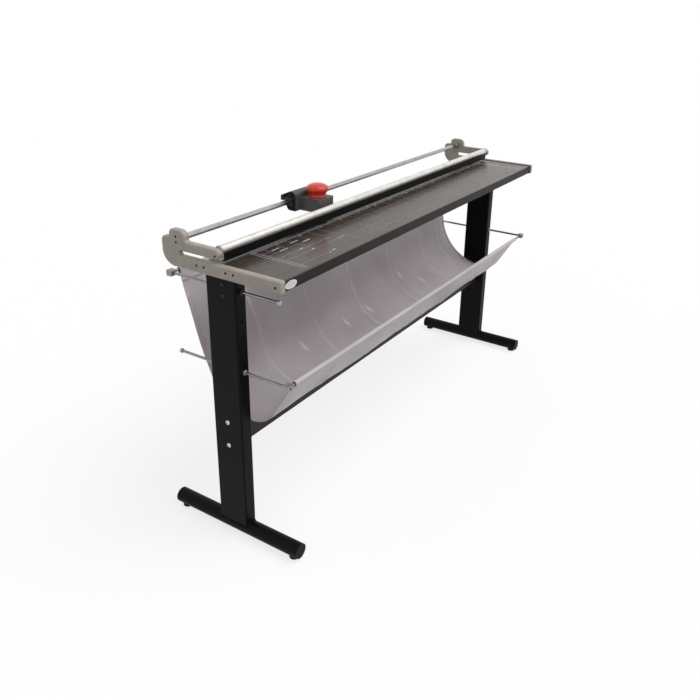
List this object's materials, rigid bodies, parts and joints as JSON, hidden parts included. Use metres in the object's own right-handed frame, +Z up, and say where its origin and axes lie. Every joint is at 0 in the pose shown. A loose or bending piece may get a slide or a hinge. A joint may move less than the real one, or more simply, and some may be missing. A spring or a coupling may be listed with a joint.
{
  "type": "rotary paper trimmer on a stand",
  "caption": "Long rotary paper trimmer on a two-legged stand: cutter head with a round blade sliding on a hexagonal rail, spring-raised clamp bar, and a cloth catcher below.",
  "frame": {"origin": "on the floor, midway between the two legs and midway between the ends of the foot tubes", "axes": "+X runs along the cut towards the end on the right of someone at the front, +Y from the operator's side to the rear, +Z up"},
  "size_m": [1.628, 0.452, 0.922],
  "materials": {
    "cast_enamel": "satin enamel over a casting",
    "table_enamel": "fine satin enamel",
    "dark_frame_steel": "matt powder coat",
    "knife_steel": "ground",
    "black_powder": "satin powder coat",
    "black_plastic": "moulded",
    "rubber": "moulded",
    "chrome_rod": "bright drawn",
    "cap_metal": "satin anodised",
    "block_metal": "tumbled",
    "socket_metal": "satin",
    "clamp_aluminium": "satin anodised",
    "spring_steel": "bright",
    "black_screw": "black oxide",
    "zinc_screw": "zinc plated",
    "head_plastic": "fine moulded texture",
    "bush_plastic": "machined",
    "knob_red": "gloss",
    "catcher_cloth": "woven, lightly coated"
  },
  "bodies": {
    "frame": {"bracket_screws": "black_screw", "catcher_sheet": "catcher_cloth", "clamp_guide_screws": "black_screw", "clamp_springs": "spring_steel", "corner_blocks": "block_metal", "fixed_knife": "knife_steel", "foot_end_caps": "black_plastic", "front_sheet_rod": "chrome_rod", "guide_rail": "chrome_rod", "knife_beam": "dark_frame_steel", "left_end_plate": "cast_enamel", "left_foot_tube": "black_powder", "left_leg_bracket": "dark_frame_steel", "left_leg_column": "black_powder", "left_lower_cross_rod": "chrome_rod", "left_upper_cross_rod": "chrome_rod", "leg_screws": "black_screw", "rail_socket_screws": "black_screw", "rail_sockets": "socket_metal", "rear_sheet_rod": "chrome_rod", "right_end_plate": "cast_enamel", "right_foot_tube": "black_powder", "right_leg_bracket": "dark_frame_steel", "right_leg_column": "black_powder", "right_lower_cross_rod": "chrome_rod", "right_upper_cross_rod": "chrome_rod", "rod_end_caps": "cap_metal", "rubber_feet": "rubber", "stretcher": "dark_frame_steel", "stretcher_bolts": "zinc_screw", "table_tray": "table_enamel", "tray_screws": "black_screw"},
    "clamp": {"clamp_tube": "clamp_aluminium", "clamp_strip": "black_plastic", "clamp_end_caps": "cap_metal"},
    "head": {"carriage_housing": "head_plastic", "head_base_plate": "zinc_screw", "left_rail_bush": "bush_plastic", "right_rail_bush": "bush_plastic", "blade_axle": "zinc_screw", "palm_knob": "knob_red", "knob_stud": "zinc_screw"},
    "blade": {"rotary_blade": "knife_steel", "blade_hub": "zinc_screw"}
  },
  "joints": [
    {"name": "clamp_slide", "type": "slide", "parent": "frame", "child": "clamp", "axis": [0, 0, 1], "range_m": [-0.0067, 0], "stiffness_N_per_m": 2600, "springref_m": 0.012, "deforming": ["clamp_springs"]},
    {"name": "head_slide", "type": "slide", "parent": "frame", "child": "head", "axis": [1, 0, 0], "range_m": [-0.419, 1.008]},
    {"name": "blade_spin", "type": "hinge", "parent": "head", "child": "blade", "pos_m": [-0.2945, 0.0528, 0.846], "axis": [0, 1, 0], "continuous": true}
  ],
  "couplings": [
    {"joint": "blade_spin", "follows": "head_slide", "rad_per_m": 38.462}
  ]
}
